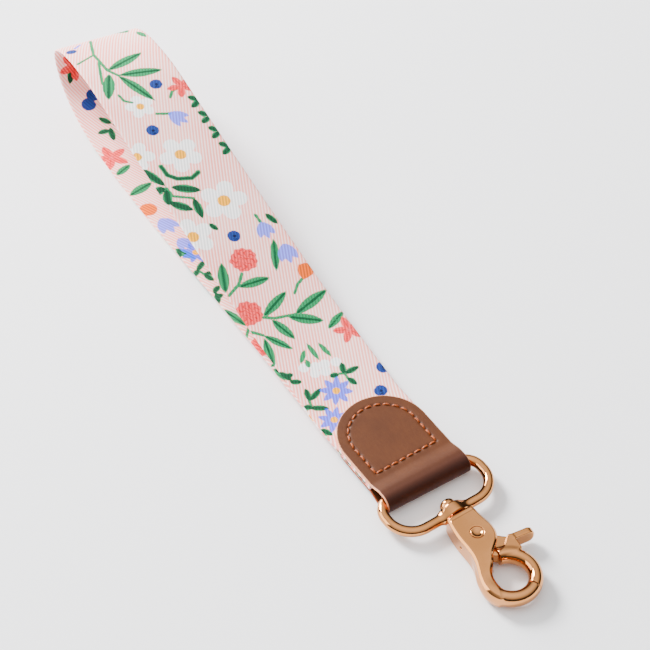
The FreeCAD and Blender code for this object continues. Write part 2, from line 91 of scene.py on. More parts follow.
# The webbing's middle line: reach beyond the tab's round end, sideways drift, height above the floor.
ROUTE = (
    (6.0, 0.4, 2.57),
    (14.0, 0.7, 2.5),
    (27.0, 1.2, 2.35),
    (42.0, 1.6, 2.15),
    (58.0, 1.9, 1.9),
    (75.0, 2.2, 1.5),
    (90.0, 2.5, 1.05),
    (103.0, 3.0, 0.82),
    (114.0, 3.5, 0.82),
    (124.0, 4.1, 1.0),
    (133.0, 4.9, 1.85),
    (141.0, 5.7, 3.9),
    (146.5, 6.3, 7.2),
    (149.8, 6.7, 11.2),
    (151.2, 6.9, 15.2),
    (150.6, 6.8, 18.6),
    (148.0, 6.5, 21.3),
    (143.0, 5.9, 24.0),
    (136.0, 5.2, 26.1),
    (129.0, 4.5, 27.1),
    (121.5, 4.0, 27.1),
    (114.0, 3.5, 26.1),
    (106.0, 3.1, 24.5),
    (95.0, 2.7, 21.9),
    (80.0, 2.3, 18.1),
    (65.0, 2.0, 14.3),
    (50.0, 1.7, 10.6),
    (35.0, 1.4, 7.2),
    (22.0, 1.1, 5.05),
    (13.0, 0.7, 4.2),
    (6.5, 0.4, 3.7),
    (3.0, 0.2, 3.5),
)


def srgb(red, green, blue):
    """A linear colour from 0-255 display values."""
    parts = [value / 255.0 for value in (red, green, blue)]
    return tuple(v / 12.92 if v <= 0.04045 else ((v + 0.055) / 1.055) ** 2.4 for v in parts) + (1.0,)


# ---- meshes ----

def make_object(name, points, faces, body, replaced):
    """A smooth-shaded mesh object from points in millimetres, riding on a body."""
    mesh = bpy.data.meshes.new(name)
    points = np.asarray(points, dtype=np.float64) * MM
    if isinstance(faces, np.ndarray):
        mesh.vertices.add(len(points))
        mesh.vertices.foreach_set("co", points.ravel())
        size = faces.shape[1]
        mesh.loops.add(faces.size)
        mesh.loops.foreach_set("vertex_index", faces.ravel().astype(np.int32))
        mesh.polygons.add(len(faces))
        mesh.polygons.foreach_set("loop_start", np.arange(0, faces.size, size, dtype=np.int32))
        mesh.update(calc_edges=True)
    else:
        mesh.from_pydata(points.tolist(), [], faces)
    mesh.validate()
    mesh.polygons.foreach_set("use_smooth", np.ones(len(mesh.polygons), dtype=bool))
    thing = bpy.data.objects.new(name, mesh)
    bpy.context.scene.collection.objects.link(thing)
    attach(thing, body)
    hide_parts(*replaced)
    return thing


def add_attribute(thing, name, values):
    """One number for each vertex, which materials can read."""
    layer = thing.data.attributes.new(name, "FLOAT", "POINT")
    layer.data.foreach_set("value", np.asarray(values, dtype=np.float32))


def gradient(field, points, reach=0.01):
    """The slope of a field at each point."""
    slopes = []
    for axis in range(3):
        step = np.zeros(3)
        step[axis] = reach
        slopes.append((field(points + step) - field(points - step)) / (2 * reach))
    return np.stack(slopes, axis=-1)


def surface_net(field, low, high, step):
    """A quad mesh of the surface where the field is zero, with its points moved onto that surface."""
    low = np.asarray(low, dtype=float)
    counts = np.ceil((np.asarray(high, dtype=float) - low) / step).astype(int) + 1
    axes = [low[i] + step * np.arange(counts[i]) for i in range(3)]
    value = field(np.stack(np.meshgrid(*axes, indexing="ij"), axis=-1))
    cells = counts - 1

    # Each cell's point is the mean of the places where the surface crosses its edges.
    total = np.zeros(tuple(cells) + (3,))
    hits = np.zeros(tuple(cells))
    for axis in range(3):
        others = [i for i in range(3) if i != axis]
        for first in (0, 1):
            for second in (0, 1):
                start = [0, 0, 0]
                start[others[0]] = first
                start[others[1]] = second
                end = list(start)
                end[axis] = 1
                a = value[tuple(slice(start[i], start[i] + cells[i]) for i in range(3))]
                b = value[tuple(slice(end[i], end[i] + cells[i]) for i in range(3))]
                crossed = (a < 0) != (b < 0)
                share = np.where(crossed, a / np.where(crossed, a - b, 1.0), 0.0)
                hits += crossed
                for i in range(3):
                    total[..., i] += crossed * (share if i == axis else start[i])
    active = hits > 0
    index = np.full(tuple(cells), -1)
    index[active] = np.arange(active.sum())
    where = np.argwhere(active)
    points = low + step * (where + total[active] / hits[active][:, None])

    # Each crossed grid edge gives one quad between the four cells round it.
    faces = []
    for axis in range(3):
        others = [(axis + 1) % 3, (axis + 2) % 3]
        begin = [slice(None)] * 3
        end = [slice(None)] * 3
        begin[axis] = slice(0, -1)
        end[axis] = slice(1, None)
        a = value[tuple(begin)] < 0
        b = value[tuple(end)] < 0
        inner = [slice(None)] * 3
        for other in others:
            inner[other] = slice(1, -1)
        places = np.argwhere((a != b)[tuple(inner)])
        for other in others:
            places[:, other] += 1
        outward = a[tuple(places.T)]
        ring = []
        for first, second in ((0, 0), (1, 0), (1, 1), (0, 1)):
            cell = places.copy()
            cell[:, others[0]] -= 1 - first
            cell[:, others[1]] -= 1 - second
            ring.append(index[tuple(cell.T)])
        quads = np.stack(ring, axis=-1)
        quads[~outward] = quads[~outward][:, ::-1]
        faces.append(quads)

    # Newton steps along the slope bring the points onto the surface.
    for _ in range(4):
        slope = gradient(field, points)
        size = np.maximum((slope ** 2).sum(-1), 0.05)
        move = np.clip(field(points) / size, -step, step)
        points = points - move[:, None] * slope
    return points, np.concatenate(faces)


def smooth_union(a, b, blend):
    """Two fields joined with a fillet about blend wide."""
    near = np.clip(0.5 + 0.5 * (b - a) / blend, 0.0, 1.0)
    return b + (a - b) * near - blend * near * (1.0 - near)


def smooth_cut(base, tool, blend):
    """A field with a tool taken away, and the cut's rim rounded."""
    return -smooth_union(-base, tool, blend)


def rounded(a, b, edge):
    """The crossing of two fields with its edge rounded by the radius edge."""
    a = a + edge
    b = b + edge
    outside = np.hypot(np.maximum(a, 0.0), np.maximum(b, 0.0))
    return outside + np.minimum(np.maximum(a, b), 0.0) - edge


def ease(low, high, value):
    """A smooth step from 0 at low to 1 at high."""
    share = np.clip((value - low) / (high - low), 0.0, 1.0)
    return share * share * (3.0 - 2.0 * share)


def soften(corners, rounds=2):
    """A closed outline with its corners cut off again and again, which makes it a smooth curve."""
    points = np.array(corners, dtype=float)
    for _ in range(rounds):
        after = np.roll(points, -1, axis=0)
        pairs = np.stack([0.75 * points + 0.25 * after, 0.25 * points + 0.75 * after], axis=1)
        points = pairs.reshape(-1, 2)
    return [tuple(point) for point in points]


def polygon_field(corners, x, y):
    """Signed distance to a polygon, negative inside. On a grid, one layer is enough for every height."""
    if x.ndim == 3:
        x = x[..., :1]
        y = y[..., :1]
    near = np.full(x.shape, 1e9)
    inside = np.zeros(x.shape, dtype=bool)
    for (x0, y0), (x1, y1) in zip(corners, corners[1:] + corners[:1]):
        dx = x1 - x0
        dy = y1 - y0
        share = np.clip(((x - x0) * dx + (y - y0) * dy) / (dx * dx + dy * dy), 0.0, 1.0)
        near = np.minimum(near, np.hypot(x - x0 - share * dx, y - y0 - share * dy))
        if dy:
            crosses = (y0 > y) != (y1 > y)
            inside ^= crosses & (x < x0 + (y - y0) * dx / dy)
    return np.where(inside, -near, near)


def lathe(profile, steps=64):
    """Points and faces of a turned shape: profile is (radius, height) from end to end on the axis."""
    points = []
    faces = []
    for radius, height in profile:
        for i in range(steps):
            angle = 2 * math.pi * i / steps
            points.append((radius * math.cos(angle), radius * math.sin(angle), height))
    for row in range(len(profile) - 1):
        for i in range(steps):
            after = (i + 1) % steps
            a = row * steps
            b = a + steps
            faces.append((a + i, a + after, b + after, b + i))
    faces.append(tuple(range(steps))[::-1])
    faces.append(tuple(range(len(points) - steps, len(points))))
    return np.array(points), faces


# ---- the swivel ring ----

BOSS_RADIUS = 3.0
BOSS_HALF = 1.55
BOSS_FILLET = 2.2
SWIVEL_BORE = 1.3


def ring_field(p):
    """The bent bar with its swivel boss."""
    x = p[..., 0] - RING_X
    y = p[..., 1] - (BAR_Y + RING_DEPTH / 2)
    z = p[..., 2] - AXIS_Z
    bend = np.where(y < 0, FRONT_BEND, REAR_BEND)
    reach_x = np.abs(x) - RING_HALF + bend
    reach_y = np.abs(y) - RING_DEPTH / 2 + bend
    outside = np.hypot(np.maximum(reach_x, 0), np.maximum(reach_y, 0))
    outline = outside + np.minimum(np.maximum(reach_x, reach_y), 0) - bend
    bar = np.hypot(outline, z) - WIRE
    side = p[..., 0] - HOOK_X
    along = p[..., 1] - BAR_Y
    boss = rounded(np.hypot(side, z) - BOSS_RADIUS, np.abs(along) - BOSS_HALF, 0.45)
    whole = smooth_union(bar, boss, BOSS_FILLET)
    return smooth_cut(whole, np.hypot(side, z) - SWIVEL_BORE, 0.25)


# ---- the trigger hook ----

# Places run across from the swivel axis, or toward the hook's tip; the arc's ends are in degrees.
BODY_HALF = 3.0
BODY_BEVEL = 0.6
BODY_THINNER = 0.75
EYE_RING = 6.25
EYE_WIDE = 1.86
EYE_HIGH = 2.3
CLAW_LOW = 0.9
CLAW_RISE = 1.4
CLAW_START = 128.0
CLAW_END = 299.0
GATE_END = -60.2
GATE_START = 80.0
SLOT_HALF = 1.6
SLOT_LEFT = -3.2
SLOT_RIGHT = 9.0
SLOT_TOP = 5.4
SLOT_MIDDLE = 15.0
SLOT_NARROW_LEFT = -0.9
SLOT_END = 19.0
HEAD_SINK = 1.72
HEAD_FLOOR = 2.28
RIVET_RADIUS = 1.1
VENT_RADIUS = 0.4
VENT_END = -2.5
GROOVE = 3.3
GATE_HALF = 1.5
GATE_DISC = 3.0
GATE_BORE = 1.16
SPRING_RECESS = 2.3
ARM_HALF = 2.2
FIN_X = 5.8
FIN_V = 14.65
FIN_SLOPE = -8.5
FIN_MIDDLE = 3.4
FIN_REACH = 3.6
FIN_HALF = 2.1
FIN_THICK = 0.9
CHEEK_HALF = 1.52
CHEEK_GAP = 0.16

# Outlines seen from above: across from the swivel axis, and toward the hook's tip.
PLATE = soften([
    (-3.4, 1.85), (3.4, 1.85), (3.9, 2.3), (4.1, 5.6), (4.45, 8.0), (4.6, 9.6), (4.4, 11.2),
    (3.8, 12.7), (2.6, 14.1), (1.0, 15.3), (-0.2, 16.3), (-1.2, 17.8), (-2.2, 18.9), (-3.2, 19.8),
    (-3.9, 20.8), (-4.4, 22.2), (-4.6, 23.8), (-5.2, 26.2), (-6.3, 28.0), (-7.4, 26.2), (-7.9, 23.4),
    (-7.4, 20.4), (-6.2, 17.8), (-5.3, 15.5), (-4.85, 13.0), (-4.85, 7.5), (-3.9, 2.3),
])


def hook_places(p):
    """Across, toward the tip, and up from the hook's middle, all from the swivel's middle."""
    return p[..., 0] - HOOK_X, BAR_Y - p[..., 1], p[..., 2] - AXIS_Z


def eye_arc(x, v, z, wide, high, start, end):
    """A bar bent round the eye, from the angle start to the angle end, both cut square."""
    radius = np.hypot(x, v - EYE)
    across = (radius - EYE_RING) / wide
    up = z / high
    bar = (np.sqrt(across ** 2 + up ** 2) - 1.0) * np.minimum(wide, high)
    middle = math.radians((start + end) / 2)
    half = math.radians((end - start) / 2)
    angle = np.arctan2(EYE - v, x) - middle
    angle = np.abs((angle + math.pi) % (2 * math.pi) - math.pi)
    return np.maximum(bar, (angle - half) * radius)


def body_blank(x, v, z):
    """The hook body before anything is cut out of it: a bevelled plate that runs into the claw."""
    half = BODY_HALF - BODY_THINNER * ease(13.0, 26.0, v)
    outline = polygon_field(PLATE, x, v)
    level = np.abs(z) - half
    bevel = (outline + level + BODY_BEVEL) * math.sqrt(0.5)
    plate = np.maximum(rounded(outline, level, 0.3), bevel)
    claw_high = CLAW_LOW + CLAW_RISE * ease(17.0, 24.5, v)
    claw = eye_arc(x, v, z, EYE_WIDE, claw_high, CLAW_START, CLAW_END)
    return smooth_union(plate, claw, 1.1)


def body_field(p):
    """The hook body with its gate slot, sunk rivet seats, vent hole and the line across its neck."""
    x, v, z = hook_places(p)
    blank = body_blank(x, v, z)
    right = x - SLOT_RIGHT
    top = SLOT_TOP - v
    wide = np.maximum(np.maximum(SLOT_LEFT - x, right), np.maximum(top, v - SLOT_MIDDLE))
    narrow = np.maximum(np.maximum(SLOT_NARROW_LEFT - x, right), np.maximum(top, v - SLOT_END))
    slot = np.maximum(np.minimum(wide, narrow), np.abs(z) - SLOT_HALF)
    radius = np.hypot(x, v - PIVOT)
    sink = np.maximum(radius - HEAD_SINK, HEAD_FLOOR - np.abs(z))
    shaft = radius - RIVET_RADIUS
    vent = np.maximum(np.hypot(v - PIVOT, z) - VENT_RADIUS, x - VENT_END)
    groove = np.maximum(np.abs(v - GROOVE) - 0.09, 2.9 - np.abs(z))
    field = smooth_cut(blank, slot, 0.12)
    field = smooth_cut(field, np.minimum(sink, shaft), 0.1)
    return smooth_cut(field, np.minimum(vent, groove), 0.12)


GATE_ROOT = [
    (-1.6, 10.2), (2.2, 9.6), (4.4, 12.4), (5.9, 13.8),
    (6.4, 15.4), (5.6, 17.4), (1.6, 17.9), (-0.4, 16.4),
]
GATE_ARM = [
    (6.3, 13.7), (3.6, 15.8), (1.9, 16.7), (1.1, 17.5), (2.6, 17.9),
    (5.0, 18.9), (6.9, 18.6), (7.2, 16.6), (7.2, 14.2),
]


def fin_field(x, v, z):
    """The thumb fin: a flat tongue with a round end, standing out from the gate."""
    slope = math.radians(FIN_SLOPE)
    along = (x - FIN_X) * math.cos(slope) + (FIN_V - v) * math.sin(slope)
    over = -(x - FIN_X) * math.sin(slope) + (FIN_V - v) * math.cos(slope)
    tongue = rounded(np.abs(along - FIN_MIDDLE) - FIN_REACH, np.abs(z) - FIN_HALF, 1.8)
    return rounded(tongue, np.abs(over) - FIN_THICK, 0.35)


def gate_field(p):
    """The gate: its root round the rivet, the arm, the arc that closes the eye, and the fin."""
    x, v, z = hook_places(p)
    radius = np.hypot(x, v - PIVOT)
    level = np.abs(z) - GATE_HALF
    root = rounded(radius - GATE_DISC, level, 0.2)
    root = np.minimum(root, rounded(polygon_field(GATE_ROOT, x, v), level, 0.25))
    arm = rounded(polygon_field(GATE_ARM, x, v), np.abs(z) - ARM_HALF, 0.35)
    arc = eye_arc(x, v, z, EYE_WIDE, EYE_HIGH, GATE_END, GATE_START)
    field = smooth_union(root, arm, 0.3)
    field = smooth_union(field, arc, 0.7)
    field = smooth_union(field, fin_field(x, v, z), 0.5)
    bore = radius - GATE_BORE
    recess = np.maximum(radius - SPRING_RECESS, -0.3 - z)
    field = smooth_cut(field, np.minimum(bore, recess), 0.1)
    cheeks = np.maximum(CHEEK_HALF - np.abs(z), body_blank(x, v, z) - CHEEK_GAP)
    return np.maximum(field, -cheeks)


def build_cast(name, field, box, step, body, node):
    """One cast piece, meshed from its field within a box."""
    points, faces = surface_net(field, *box, step)
    return make_object(name, points, faces, body, [node])


def build_swivel_rivet():
    """The rivet along the swivel axis, with its domed head in front of the ring."""
    profile = [(0.01, -5.1), (1.25, -5.1), (1.25, 1.72), (1.5, 1.68), (2.0, 1.7), (2.13, 1.82), (2.16, 2.1)]
    for i in range(1, 13):
        angle = math.pi / 2 * i / 12
        profile.append((2.16 * math.cos(angle) ** 0.8 if i < 12 else 0.01, 2.4 + 1.55 * math.sin(angle)))
    points, faces = lathe(profile)
    points = np.stack([points[:, 0] + HOOK_X, points[:, 2] + BAR_Y, AXIS_Z - points[:, 1]], axis=-1)
    return make_object("swivel_rivet_turned", points, faces, "hook", ["swivel_rivet"])


def build_gate_rivet():
    """The rivet that the gate turns on, with a dished head in each face."""
    upper = [
        (0.01, 2.62), (0.4, 2.64), (0.8, 2.72), (1.1, 2.84), (1.32, 2.97), (1.46, 3.02),
        (1.6, 3.0), (1.68, 2.92), (1.69, 2.5), (1.66, 2.3), (RIVET_RADIUS, HEAD_FLOOR),
    ]
    profile = [(radius, -height) for radius, height in upper] + upper[::-1]
    points, faces = lathe(profile)
    points = points + np.array([HOOK_X, BAR_Y - PIVOT, AXIS_Z])
    return make_object("gate_rivet_turned", points, faces, "hook", ["gate_rivet"])


def build_hardware():
    """The ring, the hook body, the gate and their rivets."""
    step = 0.17
    ring_box = ((-18.5, -86.6, -0.8), (15.6, -67.6, 6.8))
    body_box = ((-10.2, -115.2, -0.8), (6.0, -83.6, 6.8))
    gate_box = ((-4.9, -114.9, 0.2), (12.6, -88.4, 5.8))
    return [
        build_cast("swivel_ring_cast", ring_field, ring_box, step * 1.15, "ring", "swivel_ring"),
        build_cast("hook_body_cast", body_field, body_box, step, "hook", "hook_body"),
        build_cast("gate_lever_cast", gate_field, gate_box, step, "gate", "gate_lever"),
        build_swivel_rivet(),
        build_gate_rivet(),
    ]


# ---- the leather tab ----

def end_outline(x, y):
    """Distance outside the tab's D-shaped outline, seen from above."""
    side = np.abs(x - TAB_X) - STRAP_HALF
    arc = np.hypot(x - TAB_X, y - TAB_Y) - STRAP_HALF
    return np.where(y > TAB_Y, arc, side)


def folded_field(y, z, flat, pocket):
    """The folded strip's section: flat halves, a slope, and the round fold."""
    half = pocket + (flat - pocket) * ease(POCKET_Y, WEB_END_Y, y)
    straight = np.abs(z) - half
    fold = np.hypot(np.minimum(y - FOLD_Y, 0.0), z) - pocket
    return np.where(y > FOLD_Y, straight, fold)


def leather_field(p):
    """The folded strip, cut to the tab's outline with rounded rims; its fold lies slightly askew."""
    x, y, z = p[..., 0], p[..., 1], p[..., 2] - AXIS_Z
    skew = -0.03 * (x - TAB_X) * ease(-65.0, -72.0, y)
    outer = folded_field(y - skew, z, SEWN_HALF + LEATHER, POCKET_HALF + LEATHER)
    inner = folded_field(y - skew, z, SEWN_HALF, POCKET_HALF)
    strip = np.maximum(outer, -inner)
    return rounded(strip, end_outline(x, y), 0.22)


def stitch_places():
    """Middle and direction of each stitch round the tab's D-shaped line."""
    radius = STRAP_HALF - STITCH_INSET
    base = STITCH_BASE_Y
    side = TAB_Y - base
    places = []
    for kind, length in enumerate((2 * radius, side, math.pi * radius, side)):
        count = round(length / STITCH_PITCH)
        for i in range(count):
            share = (i + 0.5) / count
            if kind == 0:
                places.append((-radius + share * length, base, 0.0))
            elif kind == 1:
                places.append((radius, base + share * length, 90.0))
            elif kind == 2:
                angle = math.pi * share
                x = radius * math.cos(angle)
                places.append((x, TAB_Y + radius * math.sin(angle), 90.0 + math.degrees(angle)))
            else:
                places.append((-radius, base + side - share * length, 90.0))
    return [(TAB_X + x, y, angle) for x, y, angle in places]


def stitch_dents(points):
    """How deep the leather is pulled in beside the stitches."""
    x, y = points[:, 0], points[:, 1]
    dent = np.zeros(len(points))
    for cx, cy, angle in stitch_places():
        turn = math.radians(angle)
        along = (x - cx) * math.cos(turn) + (y - cy) * math.sin(turn)
        across = -(x - cx) * math.sin(turn) + (y - cy) * math.cos(turn)
        groove = np.exp(-(across / 0.55) ** 2) * ease(1.5, 0.7, np.abs(along))
        holes = np.exp(-((np.abs(along) - NEEDLE_HOLE) ** 2 + across ** 2) / 0.16)
        dent = np.maximum(dent, 0.05 * groove + 0.2 * holes)
    return dent


def build_leather():
    """The folded leather with its sunk stitch line."""
    step = 0.21
    points, faces = surface_net(leather_field, (-15.0, -75.2, -0.9), (11.8, -40.4, 6.9), step)
    height = points[:, 2] - AXIS_Z
    top = np.abs(height) > SEWN_HALF + LEATHER - 0.2
    dent = np.where(top, stitch_dents(points), 0.0)
    points[:, 2] -= np.sign(height) * dent
    leather = make_object("leather_tab_sewn", points, faces, "strap", ["leather_tab"])
    add_attribute(leather, "cut_edge", ease(-0.2, -0.07, end_outline(points[:, 0], points[:, 1])))
    # The dent depth also sets painted shade in the stitch dents.
    add_attribute(leather, "stitch_dent", dent)
    # fold: a mask that rises toward the fold, where the material paints shade.
    add_attribute(leather, "fold", ease(-66.5, -73.5, points[:, 1]))
    # underside picks the darker, shaded copy of the cut edge on the lower half.
    add_attribute(leather, "underside", (height < 0).astype(float))
    return leather


def build_thread(name, node, side):
    """The stitches on one face: two-lobed twisted bars with ends that dip into the leather.

    side is 1 for the upper face and -1 for the lower one.
    """
    rings = 22
    spokes = 12
    points = []
    faces = []
    surface = SEWN_HALF + LEATHER
    for number, (cx, cy, angle) in enumerate(stitch_places()):
        turn = math.radians(angle) + 0.05 * math.sin(number * 2.4)
        start = len(points)
        for i in range(rings):
            share = i / (rings - 1)
            along = (share - 0.5) * STITCH_LONG
            dip = 0.5 * abs(2 * share - 1) ** 3
            twist = share * 4.2 * math.pi + number
            for k in range(spokes):
                spoke = 2 * math.pi * k / spokes
                size = STITCH_RADIUS * (0.82 + 0.2 * abs(math.cos(spoke - twist)))
                across = size * math.cos(spoke) * 1.15
                up = surface + 0.12 - dip + size * math.sin(spoke)
                x = cx + along * math.cos(turn) - across * math.sin(turn)
                y = cy + along * math.sin(turn) + across * math.cos(turn)
                points.append((x, y, AXIS_Z + side * up))
        for i in range(rings - 1):
            for k in range(spokes):
                a = start + i * spokes + k
                b = start + i * spokes + (k + 1) % spokes
                quad = (a, b, b + spokes, a + spokes)
                faces.append(quad if side > 0 else quad[::-1])
        first = tuple(range(start, start + spokes))
        last = tuple(range(start + (rings - 1) * spokes, start + rings * spokes))
        faces.append(first[::-1] if side > 0 else first)
        faces.append(last if side > 0 else last[::-1])
    return make_object(name, points, faces, "strap", [node])


# ---- the webbing ----

def natural_spline(knots, values, where):
    """A natural cubic spline through the values, one row for each knot."""
    count = len(knots)
    gaps = np.diff(knots)
    matrix = np.eye(count)
    right = np.zeros_like(values)
    for i in range(1, count - 1):
        matrix[i, i - 1] = gaps[i - 1]
        matrix[i, i] = 2 * (gaps[i - 1] + gaps[i])
        matrix[i, i + 1] = gaps[i]
        slope = (values[i + 1] - values[i]) / gaps[i]
        right[i] = 6 * (slope - (values[i] - values[i - 1]) / gaps[i - 1])
    bends = np.linalg.solve(matrix, right)
    span = np.clip(np.searchsorted(knots, where) - 1, 0, count - 2)
    gap = gaps[span][:, None]
    before = (knots[span + 1] - where)[:, None]
    after = (where - knots[span])[:, None]
    curve = (bends[span] * before ** 3 + bends[span + 1] * after ** 3) / (6 * gap)
    curve += (values[span] / gap - bends[span] * gap / 6) * before
    return curve + (values[span + 1] / gap - bends[span + 1] * gap / 6) * after


def strap_frames(step):
    """Evenly spaced places along the webbing: middles, side ways, inward ways, and the length
    from where the webbing leaves the tab on top. The whole length comes last.
    """
    inside = [WEB_END_Y, WEB_END_Y + 9.0, ROUND_END - 9.0, ROUND_END - 4.0, ROUND_END]
    low = AXIS_Z - WEB_HALF - 0.01
    high = AXIS_Z + WEB_HALF + 0.01
    knots = [(TAB_X, y, low) for y in inside]
    knots += [(TAB_X + drift, ROUND_END + reach, height) for reach, drift, height in ROUTE]
    knots += [(TAB_X, y, high) for y in reversed(inside)]
    knots = np.array(knots)
    chord = np.concatenate([[0.0], np.cumsum(np.linalg.norm(np.diff(knots, axis=0), axis=1))])
    fine = natural_spline(chord, knots, np.linspace(0.0, chord[-1], 9000))
    length = np.concatenate([[0.0], np.cumsum(np.linalg.norm(np.diff(fine, axis=0), axis=1))])
    count = int(round(length[-1] / step)) + 1
    even = np.linspace(0.0, length[-1], count)
    middle = np.stack([np.interp(even, length, fine[:, i]) for i in range(3)], axis=-1)
    share = (np.maximum(middle[:, 1] - ROUND_END, 0.0) / LOOP_LENGTH) ** 2
    yaw = np.radians(LOOP_YAW * share)
    roll = np.radians(LOOP_ROLL * share)
    side = np.stack([np.cos(roll) * np.cos(yaw), np.cos(roll) * np.sin(yaw), np.sin(roll)], axis=-1)
    tangent = np.gradient(middle, axis=0)
    inward = np.cross(side, tangent)
    inward /= np.linalg.norm(inward, axis=1)[:, None]
    exit_length = np.interp(0.0, (fine[::-1, 1] - ROUND_END)[:4000], length[::-1][:4000])
    return middle, side, inward, exit_length - even, length[-1]


class Print:
    """The print on one face of the webbing: for each ink, how far inside its shape each point is.

    u runs across the webbing and s along it from the tab, both in millimetres.
    """

    INKS = (
        "leaf", "leaf_dark", "coral", "red", "white", "lavender", "orange", "blue", "navy", "yellow", "sky",
    )

    def __init__(self, across, along):
        self.u = across
        self.along = along
        self.s = along
        self.ink = {name: np.full(across.shape, NO_INK) for name in self.INKS}

    def shift(self, offset):
        """Motifs drawn after this lie that much further along the webbing."""
        self.s = self.along - offset

    def add(self, name, value):
        self.ink[name] = np.maximum(self.ink[name], np.clip(value, NO_INK, -NO_INK))

    def disc(self, name, u, s, radius):
        self.add(name, radius - np.hypot(self.u - u, self.s - s))

    def stroke(self, name, points, half):
        for (u0, s0), (u1, s1) in zip(points[:-1], points[1:]):
            du, ds = u1 - u0, s1 - s0
            share = np.clip(((self.u - u0) * du + (self.s - s0) * ds) / (du * du + ds * ds), 0, 1)
            self.add(name, half - np.hypot(self.u - u0 - share * du, self.s - s0 - share * ds))

    def almond(self, base, tip, wide):
        """The signed distance inside an almond shape from base to tip."""
        middle = ((base[0] + tip[0]) / 2, (base[1] + tip[1]) / 2)
        half = math.hypot(tip[0] - base[0], tip[1] - base[1]) / 2
        way = ((tip[0] - base[0]) / (2 * half), (tip[1] - base[1]) / (2 * half))
        along = (self.u - middle[0]) * way[0] + (self.s - middle[1]) * way[1]
        over = -(self.u - middle[0]) * way[1] + (self.s - middle[1]) * way[0]
        radius = (half ** 2 + (wide / 2) ** 2) / wide
        shift = radius - wide / 2
        far = np.maximum(np.hypot(along, over - shift), np.hypot(along, over + shift))
        return radius - far, over

    def leaf(self, base, tip, wide, vein=True):
        inside, over = self.almond(base, tip, wide * 1.15)
        self.add("leaf", inside)
        if vein:
            self.add("leaf_dark", np.minimum(inside - 0.3, wide * 0.13 - np.abs(over)))

    def dark_leaf(self, base, tip, wide):
        inside, over = self.almond(base, tip, wide)
        self.add("leaf", inside)
        self.add("leaf_dark", np.minimum(inside - 0.1, wide * 0.3 - np.abs(over)))

    def berry(self, u, s):
        self.disc("blue", u, s, 1.85)
        self.disc("navy", u + 0.15, s - 0.1, 0.5)
        self.stroke("navy", [(u - 0.5, s - 0.9), (u + 0.3, s - 1.2)], 0.22)

    def daisy(self, u, s, radius, petals, turn):
        for i in range(petals):
            angle = turn + 2 * math.pi * i / petals
            pu, ps = radius * math.cos(angle), radius * math.sin(angle)
            petal = [(u + 0.2 * pu, s + 0.2 * ps), (u + 0.7 * pu, s + 0.7 * ps)]
            self.stroke("white", petal, 0.385 * radius)
        self.disc("yellow", u, s, 0.3 * radius)

    def bell(self, u, s, tip, wide, name="lavender"):
        """A bell flower that opens from its stem at u, s toward tip."""
        du, ds = tip[0] - u, tip[1] - s
        for turn, size in ((-0.42, 0.92), (0.0, 1.0), (0.42, 0.92)):
            way = (du * math.cos(turn) - ds * math.sin(turn), du * math.sin(turn) + ds * math.cos(turn))
            inside, _ = self.almond((u, s), (u + size * way[0], s + size * way[1]), wide * 0.5)
            self.add(name, inside)

    def pompom(self, u, s, radius):
        angle = np.arctan2(self.s - s, self.u - u)
        edge = radius * (1 + 0.05 * np.cos(11 * angle) + 0.04 * np.sin(5 * angle))
        far = np.hypot(self.u - u, self.s - s)
        self.add("coral", edge - far)
        rays = 0.3 * np.cos(9 * angle + 3 * np.sin(2.1 * far)) - 0.12
        self.add("red", np.minimum(rays, edge - 0.5 - far))

    def blossom(self, u, s, radius, turn, heart="yellow"):
        """A five-petalled coral flower."""
        for i in range(5):
            angle = turn + 2 * math.pi * i / 5
            tip = (u + radius * math.cos(angle), s + radius * math.sin(angle))
            inside, over = self.almond((u, s), tip, radius * 0.5)
            self.add("coral", inside)
            self.add("red", np.minimum(inside - 0.35, 0.16 - np.abs(over)))
        self.disc(heart, u, s, 0.17 * radius)

    def star(self, u, s, radius, turn):
        for i in range(8):
            angle = turn + math.pi * i / 4
            tip = (u + radius * math.cos(angle), s + radius * math.sin(angle))
            inside, _ = self.almond((u, s), tip, radius * 0.4)
            self.add("sky", inside)
        self.disc("yellow", u, s, 0.24 * radius)


def draw_far_leaves(p):
    """Leaves and stems near the loop's far end."""
    p.leaf((-5.3, 129.0), (7.0, 132.5), 3.1)
    p.leaf((-3.5, 125.8), (8.8, 122.6), 3.0)
    p.leaf((-3.7, 125.8), (1.6, 112.6), 2.6)
    p.leaf((-5.5, 127.6), (-10.2, 118.0), 3.0)
    p.stroke("leaf", [(-3.5, 125.8), (-5.3, 129.0), (-5.6, 138.5), (-2.5, 150.0)], 0.47)
    p.stroke("leaf", [(-5.6, 138.5), (-11.5, 136.0)], 0.45)
    p.stroke("leaf", [(-5.8, 134.0), (-9.0, 124.5)], 0.45)
    p.stroke("leaf", [(-6.8, 118.5), (-6.4, 116.0), (-4.6, 114.6)], 0.42)
    p.leaf((6.4, 160.0), (8.6, 148.0), 3.8, False)
    p.leaf((10.6, 146.5), (11.4, 140.0), 1.6, False)
    p.disc("blue", -10.2, 144.5, 1.6)
    p.stroke("sky", [(-8.4, 146.5), (-6.2, 148.5)], 0.5)


